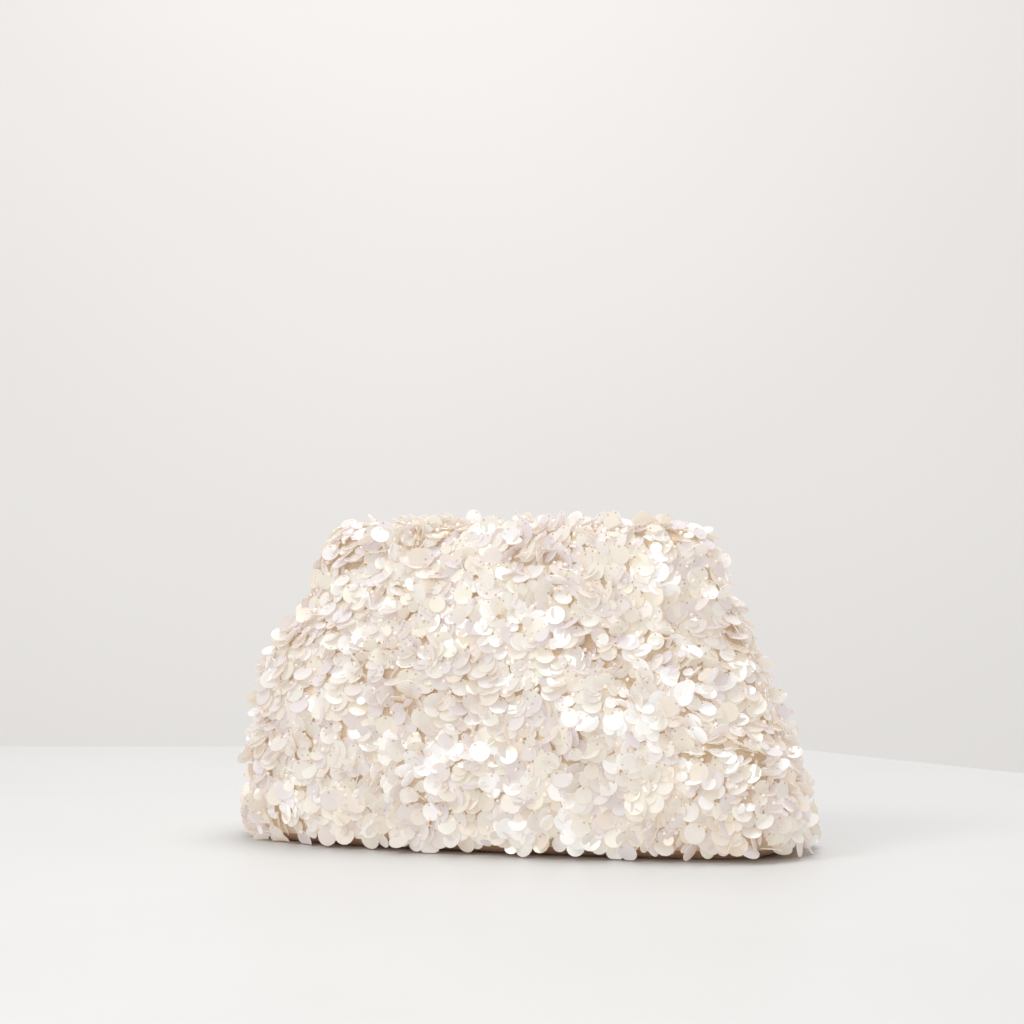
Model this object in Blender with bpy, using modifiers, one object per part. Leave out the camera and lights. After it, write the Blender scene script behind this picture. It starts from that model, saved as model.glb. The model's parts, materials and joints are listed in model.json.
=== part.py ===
"""Sequinned clutch purse on a hidden hinged frame, closed and standing on its base.

Metres, +Z up. X runs along the bag, the front faces -Y, and the origin is the middle of the base.
The pouch stays put. The front and back halves swing apart about the two frame rivets.
"""

import math

import bmesh
import bpy
from mathutils import Matrix

# Overall size of the closed bag, over the sequins.
LENGTH = 0.302
DEPTH = 0.118
HEIGHT = 0.166

# The hinge line runs along X through both rivets, at this share of the height. Under it the
# halves lap inside the pouch, down to a plane that falls away from the line by the lap angle.
HINGE_SHARE = 0.500
LAP_ANGLE = math.radians(6)

# Plies, from the outside in, and the gap between any two pieces.
CLOTH = 0.0030
PADDING = 0.0020
LINING = 0.0010
GAP = 0.0004
MOUTH_GAP = 0.0004
PADDING_TOP_DROP = 0.012
LINING_TOP_DROP = 0.018

# Frame: a sprung steel strip bent into a U for each half, sewn into a fabric sleeve.
STRIP = 0.0015
STRIP_WIDTH = 0.006
SLEEVE = 0.0008
FRAME_EASE = 0.0015
EYE_RADIUS = 0.0050
EYE_THICKNESS = 0.0019
EYE_SETBACK = 0.0020
EYE_LENGTH = 0.0080
JOG_LENGTH = 0.0100

# Hinge rivets and the washer between the two eyes.
RIVET_RADIUS = 0.0015
RIVET_HEAD_RADIUS = 0.0032
RIVET_HEAD = 0.0012
RIVET_CLEARANCE = 0.0003
WASHER = 0.0005
WASHER_RADIUS = 0.0040

# Magnets, two in each half, in a tape sewn under the frame sleeve.
MAGNET_LENGTH = 0.020
MAGNET_THICKNESS = 0.0024
MAGNET_HEIGHT = 0.006
MAGNET_SPACING = 0.064
TAPE_WALL = 0.0006
TAPE_HEIGHT = 0.009
TAPE_LENGTH = 0.110

# Base, gussets and slip pocket.
BOTTOM_PANEL = 0.0030
BASE_BOARD = 0.0020
BOARD_MARGIN = 0.010
GUSSET = 0.0012
GUSSET_CREASE = 0.0040
GUSSET_CREASE_WIDTH = 0.0006
GUSSET_BOTTOM = 0.014
GUSSET_ROWS = 6
GUSSET_SPREAD = 0.75
GUSSET_WIDEST = 0.020
POCKET = 0.0008
POCKET_LENGTH = 0.110
POCKET_BOTTOM = 0.014
POCKET_TOP = 0.060

# Shape. A station is the height, half length and half depth, as shares of the overall ones,
# and how far the end dips in at the mouth line, as a share of the half length.
AROUND = 40
SQUARENESS = 3.0
DIP_WIDTH = 0.016
POUCH_STATIONS = (
    (0.020, 0.985, 0.955, 0.020),
    (0.060, 0.995, 0.985, 0.020),
    (0.120, 1.000, 1.000, 0.020),
    (0.250, 1.000, 1.000, 0.022),
    (0.380, 0.990, 0.995, 0.026),
    (HINGE_SHARE, 0.970, 0.980, 0.030),
)
HALF_STATIONS = (
    (HINGE_SHARE - 0.045, 0.920, 0.900, 0.110),
    (HINGE_SHARE, 0.915, 0.895, 0.110),
    (0.600, 0.880, 0.815, 0.095),
    (0.700, 0.830, 0.705, 0.075),
    (0.800, 0.770, 0.590, 0.055),
    (0.880, 0.720, 0.490, 0.035),
    (0.940, 0.680, 0.405, 0.020),
    (0.975, 0.645, 0.330, 0.010),
    (0.993, 0.605, 0.220, 0.000),
    (1.000, 0.560, 0.000, 0.000),
)
FRAME_CORNER = 6

BIG = 0.4
ROUND_SIDES = 24

COLOURS = {
    "sequin_cloth": ((0.86, 0.77, 0.66, 1), 0.35, 0.0),
    "padding": ((0.90, 0.89, 0.86, 1), 0.95, 0.0),
    "lining": ((0.86, 0.80, 0.72, 1), 0.55, 0.0),
    "sleeve": ((0.80, 0.73, 0.64, 1), 0.80, 0.0),
    "board": ((0.55, 0.47, 0.38, 1), 0.85, 0.0),
    "frame_steel": ((0.62, 0.62, 0.63, 1), 0.35, 1.0),
    "rivet": ((0.72, 0.70, 0.66, 1), 0.30, 1.0),
    "magnet": ((0.70, 0.71, 0.73, 1), 0.25, 1.0),
}


def clear_scene():
    for obj in list(bpy.data.objects):
        bpy.data.objects.remove(obj)


def new_collection(name):
    collection = bpy.data.collections.new(name)
    bpy.context.scene.collection.children.link(collection)
    return collection


def new_material(name):
    colour, roughness, metallic = COLOURS[name]
    material = bpy.data.materials.new(name)
    material.use_nodes = True
    shader = material.node_tree.nodes["Principled BSDF"]
    shader.inputs["Base Color"].default_value = colour
    shader.inputs["Roughness"].default_value = roughness
    shader.inputs["Metallic"].default_value = metallic
    return material


def put_in(obj, collection):
    for holder in list(obj.users_collection):
        holder.objects.unlink(obj)
    collection.objects.link(obj)
    return obj


def as_part(obj, material_name):
    """A finished piece: it gets its material and goes in the purse's collection."""
    obj.data.materials.clear()
    obj.data.materials.append(MATERIALS[material_name])
    return put_in(obj, PURSE)


def as_cutter(obj):
    obj.hide_render = True
    obj.display_type = "WIRE"
    return put_in(obj, CUTTERS)


def boolean(obj, other, operation="DIFFERENCE"):
    modifier = obj.modifiers.new(other.name, "BOOLEAN")
    modifier.operation = operation
    modifier.object = other
    modifier.solver = "EXACT"


def box(name, low, high):
    """A box from one corner to the other."""
    middle = [(a + b) / 2 for a, b in zip(low, high)]
    sides = [b - a for a, b in zip(low, high)]
    bpy.ops.mesh.primitive_cube_add(size=1, location=middle)
    obj = bpy.context.object
    obj.name = name
    obj.scale = sides
    bpy.ops.object.transform_apply(location=False, rotation=False, scale=True)
    return obj


def rod_along_x(name, radius, start, end):
    """A round bar on the hinge line, from x = start to x = end."""
    bpy.ops.mesh.primitive_cylinder_add(
        vertices=ROUND_SIDES,
        radius=radius,
        depth=abs(end - start),
        location=((start + end) / 2, 0, HINGE_HEIGHT),
        rotation=(0, math.pi / 2, 0),
    )
    obj = bpy.context.object
    obj.name = name
    return obj


# ---------------------------------------------------------------- outline of the bag


def section_point(half_length, half_depth, dip, angle):
    """A point of a level section: a rounded rectangle whose ends dip in at the mouth line."""
    power = 2 / SQUARENESS
    cosine, sine = math.cos(angle), math.sin(angle)
    y = math.copysign(half_depth * abs(sine) ** power, sine)
    x = math.copysign(half_length * abs(cosine) ** power, cosine)
    return x * (1 - dip * math.exp(-((y / DIP_WIDTH) ** 2))), y


def section(half_length, half_depth, dip):
    turn = 2 * math.pi / AROUND
    return [section_point(half_length, half_depth, dip, k * turn) for k in range(AROUND)]


def outline(station):
    """The section at a station, in metres."""
    _, length, depth, dip = station
    return section(length * LENGTH / 2 / WIDEST, depth * DEPTH / 2, dip)


def slide(ring, towards, height):
    """Moves a ring of vertices along the wall, up or down, until it is level at this height."""
    for vertex, other in zip(ring, towards):
        share = (height - vertex.co.z) / (other.co.z - vertex.co.z)
        vertex.co = vertex.co.lerp(other.co, share)


def skin(name, stations, inward, bottom=None, top=None, closed=False):
    """The surface through these stations, moved inwards, that faces out. It runs from the bottom
    height to the top one, where they are given, and a closed skin has a floor too."""
    work = bmesh.new()
    rings = [
        [work.verts.new((x, y, station[0] * HEIGHT)) for x, y in outline(station)]
        for station in stations
    ]
    for lower, upper in zip(rings, rings[1:]):
        for k in range(AROUND):
            corners = (lower[k], lower[(k + 1) % AROUND], upper[(k + 1) % AROUND], upper[k])
            # The split runs the same way in all plies, and mirrored in each quarter of the bag.
            first = 1 - (4 * k // AROUND) % 2
            for start in (first, first + 2):
                work.faces.new([corners[(start + step) % 4] for step in range(3)])
    if stations[-1][2] == 0:
        bmesh.ops.remove_doubles(work, verts=rings[-1], dist=1e-5)
    work.normal_update()
    for vertex in work.verts:
        vertex.co -= vertex.normal * inward
    if bottom is not None:
        slide(rings[0], rings[1], bottom)
    if top is not None:
        slide(rings[-1], rings[-2], top)
    if closed:
        work.faces.new(rings[0][::-1])
    mesh = bpy.data.meshes.new(name)
    work.to_mesh(mesh)
    work.free()
    obj = bpy.data.objects.new(name, mesh)
    bpy.context.scene.collection.objects.link(obj)
    return obj


def thicken(obj, thickness, offset=-1):
    modifier = obj.modifiers.new("thickness", "SOLIDIFY")
    modifier.thickness = thickness
    modifier.offset = offset
    modifier.use_even_offset = True
    return obj


def as_mesh(obj):
    """The curve object made a welded mesh object of the same name and place."""
    bpy.context.view_layer.update()
    graph = bpy.context.evaluated_depsgraph_get()
    mesh = bpy.data.meshes.new_from_object(obj.evaluated_get(graph))
    work = bmesh.new()
    work.from_mesh(mesh)
    bmesh.ops.remove_doubles(work, verts=work.verts, dist=1e-6)
    bmesh.ops.recalc_face_normals(work, faces=work.faces)
    work.to_mesh(mesh)
    work.free()
    name, place = obj.name, obj.matrix_world.copy()
    bpy.data.objects.remove(obj)
    made = bpy.data.objects.new(name, mesh)
    made.matrix_world = place
    bpy.context.scene.collection.objects.link(made)
    return made


def flat_piece(name, points, thickness):
    """A flat outline given a thickness, half to each side of its own XY plane."""
    curve = bpy.data.curves.new(name, "CURVE")
    curve.dimensions = "2D"
    curve.fill_mode = "BOTH"
    curve.extrude = thickness / 2
    spline = curve.splines.new("POLY")
    spline.points.add(len(points) - 1)
    for point, (x, y) in zip(spline.points, points):
        point.co = (x, y, 0, 1)
    spline.use_cyclic_u = True
    obj = bpy.data.objects.new(name, curve)
    bpy.context.scene.collection.objects.link(obj)
    return obj


def plate(name, margin, bottom, thickness, material_name):
    """A flat piece with the outline of the bag's base, less a margin."""
    _, length, depth, _ = POUCH_STATIONS[0]
    points = section(length * LENGTH / 2 / WIDEST - margin, depth * DEPTH / 2 - margin, 0)
    obj = flat_piece(name, points, thickness)
    obj.location = (0, 0, bottom + thickness / 2)
    return as_part(as_mesh(obj), material_name)


# ---------------------------------------------------------------- soft plies


def mouth_cutter(name, side, distance):
    """Removes all that lies beyond the plane y = side * distance, away from that side."""
    low, high = sorted((side * distance, -side * BIG))
    return as_cutter(box(name, (-BIG, low, -BIG), (BIG, high, BIG)))


def lap_cutter(name, side):
    """Removes all under a plane that falls away from the hinge line by the lap angle."""
    cutter = box(name, (-BIG, -BIG, -BIG), (BIG, BIG, 0))
    for vertex in cutter.data.vertices:
        vertex.co.z -= BIG / 2
    cutter.location = (0, 0, HINGE_HEIGHT)
    cutter.rotation_euler = (-side * LAP_ANGLE, 0, 0)
    return as_cutter(cutter)


def build_half(name, side):
    """The plies of one half. They swing with its frame, inside the pouch's rim."""
    lap = lap_cutter(f"{name}_lap_cutter", side)
    mouth = mouth_cutter(f"{name}_mouth_cutter", side, MOUTH_GAP)
    inner_edge = mouth_cutter(f"{name}_inner_edge_cutter", side, SLEEVE_FAR + GAP)
    depth = 0
    for word, thickness, material_name, edge in (
        ("outer_panel", CLOTH, "sequin_cloth", mouth),
        ("padding", PADDING, "padding", inner_edge),
        ("lining", LINING, "lining", inner_edge),
    ):
        ply = thicken(skin(f"{name}_{word}", HALF_STATIONS, depth), thickness)
        boolean(ply, edge)
        boolean(ply, lap)
        as_part(ply, material_name)
        depth += thickness + GAP


def build_pouch():
    """The part of the bag under the hinge line: walls, floor, stiffener and slip pocket."""
    board_bottom = BOTTOM_PANEL + GAP
    floor = board_bottom + BASE_BOARD + GAP
    plate("bottom_panel", 0, 0, BOTTOM_PANEL, "sequin_cloth")
    plate("base_board", BOARD_MARGIN, board_bottom, BASE_BOARD, "board")

    wall = skin("pouch_outer_wall", POUCH_STATIONS, 0, bottom=board_bottom, top=HINGE_HEIGHT)
    as_part(thicken(wall, CLOTH), "sequin_cloth")

    depth = CLOTH + GAP
    top = HINGE_HEIGHT - PADDING_TOP_DROP
    padding = skin("pouch_padding", POUCH_STATIONS, depth, bottom=floor, top=top)
    as_part(thicken(padding, PADDING), "padding")

    depth += PADDING + GAP
    top = HINGE_HEIGHT - LINING_TOP_DROP
    lining = skin("pouch_lining", POUCH_STATIONS, depth, bottom=floor, top=top, closed=True)
    as_part(thicken(lining, LINING), "lining")

    depth += LINING + GAP
    pocket = thicken(skin("slip_pocket", POUCH_STATIONS, depth), POCKET)
    low = (-POCKET_LENGTH / 2, 0, POCKET_BOTTOM)
    high = (POCKET_LENGTH / 2, BIG, POCKET_TOP)
    boolean(pocket, as_cutter(box("pocket_patch", low, high)), "INTERSECT")
    as_part(pocket, "lining")


def build_gusset(name, end):
    """The end gusset folds in as a V whose crease runs up to the outer head of the rivet."""
    top = HINGE_HEIGHT - RIVET_HEAD_RADIUS - GAP
    crease_top = FRONT_EYE_X + EYE_THICKNESS / 2 + RIVET_CLEARANCE + RIVET_HEAD + GUSSET / 2
    wall_depth = CLOTH + PADDING + LINING + 4 * GAP
    work = bmesh.new()
    rows = []
    for k in range(GUSSET_ROWS):
        share = k / (GUSSET_ROWS - 1)
        z = GUSSET_BOTTOM + (top - GUSSET_BOTTOM) * share
        reach = min(GUSSET_SPREAD * (HINGE_HEIGHT - z), GUSSET_WIDEST) - GUSSET
        edge_x = pouch_end_x(z, reach) - wall_depth
        crease_bottom = pouch_end_x(z, 0) - wall_depth - GUSSET_CREASE
        crease_x = crease_bottom + (crease_top - crease_bottom) * share
        line = (
            (edge_x, -reach),
            (crease_x, -GUSSET_CREASE_WIDTH / 2),
            (crease_x, GUSSET_CREASE_WIDTH / 2),
            (edge_x, reach),
        )
        rows.append([work.verts.new((end * x, y, z)) for x, y in line])
    for lower, upper in zip(rows, rows[1:]):
        for k in range(3):
            work.faces.new((lower[k], lower[k + 1], upper[k + 1], upper[k]))
    mesh = bpy.data.meshes.new(name)
    work.to_mesh(mesh)
    work.free()
    obj = bpy.data.objects.new(name, mesh)
    bpy.context.scene.collection.objects.link(obj)
    return as_part(thicken(obj, GUSSET, -end), "lining")


def mouth_x(station):
    """How far out the surface is at the mouth line, at a station."""
    return station[1] * (1 - station[3]) * LENGTH / 2 / WIDEST


def corner_pull_in(y):
    """How much shorter the bag is, this far from the mouth line, at the frame's upper corners."""
    _, length, depth, _ = HALF_STATIONS[FRAME_CORNER]
    round_off = (1 - (y / (depth * DEPTH / 2)) ** SQUARENESS) ** (1 / SQUARENESS)
    return length * (1 - round_off) * LENGTH / 2 / WIDEST


def pouch_end_x(z, y):
    """How far out the pouch's end wall is at this height, and this far from the mouth line."""
    for lower, upper in zip(POUCH_STATIONS, POUCH_STATIONS[1:]):
        if z <= upper[0] * HEIGHT:
            break
    share = (z / HEIGHT - lower[0]) / (upper[0] - lower[0])
    _, length, depth, dip = (a + share * (b - a) for a, b in zip(lower, upper))
    round_off = (1 - (y / (depth * DEPTH / 2)) ** SQUARENESS) ** (1 / SQUARENESS)
    dip *= math.exp(-((y / DIP_WIDTH) ** 2))
    return length * round_off * (1 - dip) * LENGTH / 2 / WIDEST


# ---------------------------------------------------------------- frame


def offset_line(points, distance):
    """The open polyline moved to its left by a distance, with mitred corners."""
    moved = []
    last = len(points) - 1
    for k, (x, z) in enumerate(points):
        normals = []
        for a, b in ((k - 1, k), (k, k + 1)):
            if a >= 0 and b <= last:
                dx, dz = points[b][0] - points[a][0], points[b][1] - points[a][1]
                length = math.hypot(dx, dz)
                normals.append((-dz / length, dx / length))
        nx = sum(n[0] for n in normals) / len(normals)
        nz = sum(n[1] for n in normals) / len(normals)
        scale = distance / (nx * nx + nz * nz)
        moved.append((x + nx * scale, z + nz * scale))
    return moved


def frame_path(eye_x):
    """Centre line of a strip in the XZ plane, from the right eye over the top to the left eye."""
    mouth = [(mouth_x(station), station[0] * HEIGHT) for station in HALF_STATIONS]
    right = offset_line(mouth + [(0, HEIGHT)], FRAME_DEPTH)
    start = HINGE_HEIGHT + EYE_LENGTH + JOG_LENGTH
    right = [(x, z) for x, z in right if z > start]
    right = [(eye_x, HINGE_HEIGHT), (eye_x, HINGE_HEIGHT + EYE_LENGTH)] + right
    left = [(-x, z) for x, z in reversed(right[:-1])]
    return right + left


def bar(name, path, thickness, near, far):
    """A strip that follows the path in the XZ plane and reaches from y = near to y = far."""
    points = offset_line(path, thickness / 2) + offset_line(path, -thickness / 2)[::-1]
    obj = flat_piece(name, points, abs(far - near))
    obj.rotation_euler = (math.pi / 2, 0, 0)
    obj.location = (0, (near + far) / 2, 0)
    return as_mesh(obj)


def build_frame(name, side, eye_x):
    """A U of steel strip with an eye at each end, and the fabric sleeve that holds it."""
    path = frame_path(eye_x)
    frame = bar(f"{name}_frame", path, STRIP, side * STRIP_NEAR, side * STRIP_FAR)
    for end, word in ((1, "right"), (-1, "left")):
        start, stop = end * eye_x - EYE_THICKNESS / 2, end * eye_x + EYE_THICKNESS / 2
        boolean(frame, as_cutter(rod_along_x(f"{name}_eye_{word}", EYE_RADIUS, start, stop)), "UNION")
    boolean(frame, RIVET_HOLE)
    as_part(frame, "frame_steel")

    inside = STRIP + 2 * GAP
    channel = bar(
        f"{name}_sleeve_channel", path, inside, side * (STRIP_NEAR - GAP), side * (STRIP_FAR + GAP)
    )
    sleeve = bar(
        f"{name}_frame_sleeve",
        path[1:-1],
        inside + 2 * SLEEVE,
        side * MOUTH_GAP,
        side * SLEEVE_FAR,
    )
    boolean(sleeve, as_cutter(channel))
    as_part(sleeve, "sleeve")


def build_magnets(name, side):
    """Two bar magnets in the pockets of a tape that hangs under the frame sleeve."""
    top = HEIGHT - FRAME_DEPTH - STRIP / 2 - GAP - SLEEVE - GAP
    near = MOUTH_GAP + GAP / 2
    magnet_near = near + TAPE_WALL + GAP
    magnet_far = magnet_near + MAGNET_THICKNESS
    low_y, high_y = sorted((side * near, side * (magnet_far + GAP + TAPE_WALL)))
    tape = box(
        f"{name}_magnet_tape",
        (-TAPE_LENGTH / 2, low_y, top - TAPE_HEIGHT),
        (TAPE_LENGTH / 2, high_y, top),
    )
    magnet_top = top - TAPE_WALL - GAP
    low_y, high_y = sorted((side * magnet_near, side * magnet_far))
    for end, word in ((1, "right"), (-1, "left")):
        middle = end * MAGNET_SPACING / 2
        low_x, high_x = middle - MAGNET_LENGTH / 2, middle + MAGNET_LENGTH / 2
        magnet = box(
            f"{name}_magnet_{word}",
            (low_x, low_y, magnet_top - MAGNET_HEIGHT),
            (high_x, high_y, magnet_top),
        )
        as_part(magnet, "magnet")
        pocket = box(
            f"{name}_magnet_pocket_{word}",
            (low_x - GAP, low_y - GAP, top - TAPE_HEIGHT - GAP),
            (high_x + GAP, high_y + GAP, magnet_top + GAP),
        )
        boolean(tape, as_cutter(pocket))
    as_part(tape, "sleeve")


def hang_on_hinge(name):
    """Parents all the pieces of one half to an empty on the hinge line, where they swing."""
    hinge = bpy.data.objects.new(f"{name}_hinge", None)
    hinge.location = (0, 0, HINGE_HEIGHT)
    PURSE.objects.link(hinge)
    for obj in PURSE.objects:
        if obj.type == "MESH" and obj.name.startswith(f"{name}_"):
            obj.parent = hinge
            obj.matrix_parent_inverse = Matrix.Translation((0, 0, -HINGE_HEIGHT))


def build_rivet(word, end):
    """A rivet through the eyes of both frames, with a washer between them."""
    outer_face = FRONT_EYE_X + EYE_THICKNESS / 2 + RIVET_CLEARANCE
    inner_face = BACK_EYE_X - EYE_THICKNESS / 2 - RIVET_CLEARANCE
    rivet = rod_along_x(f"hinge_rivet_{word}", RIVET_RADIUS, end * inner_face, end * outer_face)
    heads = (
        ("outer", outer_face - RIVET_CLEARANCE / 2, outer_face + RIVET_HEAD),
        ("inner", inner_face - RIVET_HEAD, inner_face + RIVET_CLEARANCE / 2),
    )
    for place, start, stop in heads:
        head = rod_along_x(f"rivet_head_{place}_{word}", RIVET_HEAD_RADIUS, end * start, end * stop)
        boolean(rivet, as_cutter(head), "UNION")
    as_part(rivet, "rivet")

    washer_start = BACK_EYE_X + EYE_THICKNESS / 2 + RIVET_CLEARANCE
    washer = rod_along_x(
        f"hinge_washer_{word}", WASHER_RADIUS, end * washer_start, end * (washer_start + WASHER)
    )
    boolean(washer, RIVET_HOLE)
    as_part(washer, "rivet")


# Places that follow from the sizes above.
HINGE_HEIGHT = HINGE_SHARE * HEIGHT
WIDEST = max(
    x
    for _, length, depth, dip in POUCH_STATIONS
    for x, _ in section(length, depth * DEPTH / 2, dip)
)
STRIP_NEAR = MOUTH_GAP + SLEEVE + GAP
STRIP_FAR = STRIP_NEAR + STRIP_WIDTH
SLEEVE_FAR = STRIP_FAR + GAP + SLEEVE
FRAME_DEPTH = CLOTH + FRAME_EASE + corner_pull_in(SLEEVE_FAR) + SLEEVE + GAP + STRIP / 2
FRONT_EYE_X = mouth_x(HALF_STATIONS[1]) - FRAME_DEPTH - EYE_SETBACK
BACK_EYE_X = FRONT_EYE_X - EYE_THICKNESS - WASHER - 2 * RIVET_CLEARANCE

clear_scene()
PURSE = new_collection("clutch_purse")
CUTTERS = new_collection("cutters")
MATERIALS = {name: new_material(name) for name in COLOURS}
RIVET_HOLE = as_cutter(
    rod_along_x("rivet_hole", RIVET_RADIUS + RIVET_CLEARANCE, -LENGTH / 2, LENGTH / 2)
)

build_pouch()
for word, end in (("right", 1), ("left", -1)):
    build_rivet(word, end)
    build_gusset(f"side_gusset_{word}", end)
for word, side, eye_x in (("front", -1, FRONT_EYE_X), ("back", 1, BACK_EYE_X)):
    build_half(word, side)
    build_frame(word, side, eye_x)
    build_magnets(word, side)
    hang_on_hinge(word)
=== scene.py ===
import json
import math

import bmesh
import bpy
import numpy as np
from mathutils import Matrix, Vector, noise

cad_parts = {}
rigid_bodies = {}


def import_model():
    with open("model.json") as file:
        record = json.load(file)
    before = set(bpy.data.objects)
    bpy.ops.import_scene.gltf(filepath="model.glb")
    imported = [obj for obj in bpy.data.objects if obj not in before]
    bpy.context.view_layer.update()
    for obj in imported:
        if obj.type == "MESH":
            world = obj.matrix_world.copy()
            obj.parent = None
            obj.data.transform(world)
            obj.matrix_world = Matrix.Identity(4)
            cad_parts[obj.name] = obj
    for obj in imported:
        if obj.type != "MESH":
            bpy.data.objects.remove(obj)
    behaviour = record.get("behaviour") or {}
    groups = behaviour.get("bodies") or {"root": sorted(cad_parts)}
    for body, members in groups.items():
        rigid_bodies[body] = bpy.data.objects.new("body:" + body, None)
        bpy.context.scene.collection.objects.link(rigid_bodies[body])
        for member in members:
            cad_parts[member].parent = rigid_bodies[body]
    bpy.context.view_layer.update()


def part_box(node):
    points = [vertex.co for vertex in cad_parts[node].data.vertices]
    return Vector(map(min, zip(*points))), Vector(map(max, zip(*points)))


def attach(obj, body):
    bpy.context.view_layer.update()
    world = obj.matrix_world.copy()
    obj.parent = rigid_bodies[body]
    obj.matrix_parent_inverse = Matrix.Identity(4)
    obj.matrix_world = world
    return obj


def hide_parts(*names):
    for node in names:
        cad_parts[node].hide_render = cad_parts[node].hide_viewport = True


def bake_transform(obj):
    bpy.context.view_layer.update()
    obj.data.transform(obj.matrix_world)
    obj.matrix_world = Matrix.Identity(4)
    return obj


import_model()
scene = bpy.context.scene

# ------------------------------------------------------------------ viewpoint
# A level camera at the height of the bag's top, a little to the right of its front.

AZIMUTH = math.radians(17)
CAMERA_DISTANCE = 1.27
CAMERA_HEIGHT = 0.173
AIM_LEFT = 0.0035

across = Vector((math.cos(AZIMUTH), math.sin(AZIMUTH), 0))
away = Vector((-math.sin(AZIMUTH), math.cos(AZIMUTH), 0))
camera = bpy.data.objects.new("camera", bpy.data.cameras.new("camera"))
camera.data.lens = 85
camera.data.sensor_width = 36
camera.location = Vector((0, 0, CAMERA_HEIGHT)) - away * CAMERA_DISTANCE - across * AIM_LEFT
camera.rotation_euler = (math.pi / 2, 0, AZIMUTH)
scene.collection.objects.link(camera)
scene.camera = camera

# ------------------------------------------------------------------ table, wall and light
# A white table whose far edge runs behind the bag, in front of a plain white wall. One large
# soft light stands high on the left, and the room fills in the rest.


class Wire:
    """One output of a node, which takes part in sums."""

    def __init__(self, graph, node, output=0):
        self.graph, self.node = graph, node
        self.socket = node.outputs[output] if node.outputs else None

    def __getitem__(self, output):
        return Wire(self.graph, self.node, output)

    def maths(self, operation, *values):
        sockets = dict(enumerate(values))
        return self.graph.node("ShaderNodeMath", {"operation": operation}, sockets)

    def __add__(self, other):
        return self.maths("ADD", self, other)

    def __radd__(self, other):
        return self.maths("ADD", other, self)

    def __sub__(self, other):
        return self.maths("SUBTRACT", self, other)

    def __rsub__(self, other):
        return self.maths("SUBTRACT", other, self)

    def __mul__(self, other):
        return self.maths("MULTIPLY", self, other)

    def __rmul__(self, other):
        return self.maths("MULTIPLY", other, self)

    def __truediv__(self, other):
        return self.maths("DIVIDE", self, other)

    def __gt__(self, other):
        return self.maths("GREATER_THAN", self, other)

    def __lt__(self, other):
        return self.maths("LESS_THAN", self, other)


class Graph:
    """A node tree, and one way of adding any node to it."""

    def __init__(self, tree):
        self.tree = tree

    def node(self, kind, settings=None, sockets=None):
        node = self.tree.nodes.new(kind)
        for key, value in (settings or {}).items():
            if key == "stops":
                ramp = node.color_ramp
                while len(ramp.elements) < len(value):
                    ramp.elements.new(0.5)
                for element, (place, colour) in zip(ramp.elements, value):
                    element.position, element.color = place, (*colour, 1)
            else:
                setattr(node, key, value)
        for key, value in (sockets or {}).items():
            if isinstance(value, Wire):
                self.tree.links.new(value.socket, node.inputs[key])
            else:
                node.inputs[key].default_value = value
        return Wire(self, node)

    def vector(self, operation, *values):
        """Vector maths. The answer is in output 0, or in output 1 where it is a number."""
        sockets = dict(enumerate(values))
        return self.node("ShaderNodeVectorMath", {"operation": operation}, sockets)

    def scaled(self, vector, amount):
        sockets = {0: vector, "Scale": amount}
        return self.node("ShaderNodeVectorMath", {"operation": "SCALE"}, sockets)

    def split(self, vector):
        return self.node("ShaderNodeSeparateXYZ", None, {0: vector})

    def joined(self, x, y, z):
        return self.node("ShaderNodeCombineXYZ", None, {0: x, 1: y, 2: z})

    def chance(self, low, high, seed):
        sockets = {2: low, 3: high, "Seed": seed}
        return self.node("FunctionNodeRandomValue", {"data_type": "FLOAT"}, sockets)[1]

    def noise(self, at, scale, detail=2.0, roughness=0.5):
        sockets = {"Vector": at, "Scale": scale, "Detail": detail, "Roughness": roughness}
        return self.node("ShaderNodeTexNoise", None, sockets)


class Finish(Graph):
    """A material with one shader, whose constants are given by socket name."""

    def __init__(self, name, constants):
        self.material = bpy.data.materials.new(name)
        self.material.use_nodes = True
        super().__init__(self.material.node_tree)
        self.shader = self.tree.nodes["Principled BSDF"]
        for key, value in constants.items():
            self.shader.inputs[key].default_value = value

    def drive(self, socket, wire):
        self.tree.links.new(wire.socket, self.shader.inputs[socket])

    def place(self, scale=1.0):
        """Object coordinates, in units of 1 / scale metres."""
        at = self.node("ShaderNodeTexCoord")["Object"]
        return self.node("ShaderNodeMapping", None, {0: at, "Scale": (scale,) * 3})

    def stretched_noise(self, stretch, scale, detail):
        at = self.node("ShaderNodeMapping", None, {0: self.place(), "Scale": stretch})
        return self.noise(at, scale, detail)

    def threads(self, at, direction, scale, **others):
        """Bands as fine as threads, which run across this direction."""
        settings = {"wave_type": "BANDS", "bands_direction": direction}
        sockets = {"Vector": at, "Scale": scale, **others}
        return self.node("ShaderNodeTexWave", settings, sockets)["Fac"]

    def attribute(self, name, output="Fac"):
        return self.node("ShaderNodeAttribute", {"attribute_name": name})[output]

    def ramp(self, value, *stops):
        return self.node("ShaderNodeValToRGB", {"stops": stops}, {0: value})

    def mix(self, factor, first, second, how="MIX"):
        settings = {"data_type": "RGBA", "blend_type": how}
        return self.node("ShaderNodeMix", settings, {0: factor, 6: first, 7: second})[2]

    def bump(self, height, strength, distance):
        sockets = {"Height": height, "Strength": strength, "Distance": distance}
        self.drive("Normal", self.node("ShaderNodeBump", None, sockets))

    def let_light_through(self, share, colour):
        """This share of the light goes through the piece and comes out in this colour."""
        through = self.node("ShaderNodeBsdfTranslucent", None, {"Color": colour})
        sockets = {0: share, 1: Wire(self, self.shader), 2: through}
        both = self.node("ShaderNodeMixShader", None, sockets)
        self.tree.links.new(both.socket, self.tree.nodes["Material Output"].inputs["Surface"])


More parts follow.
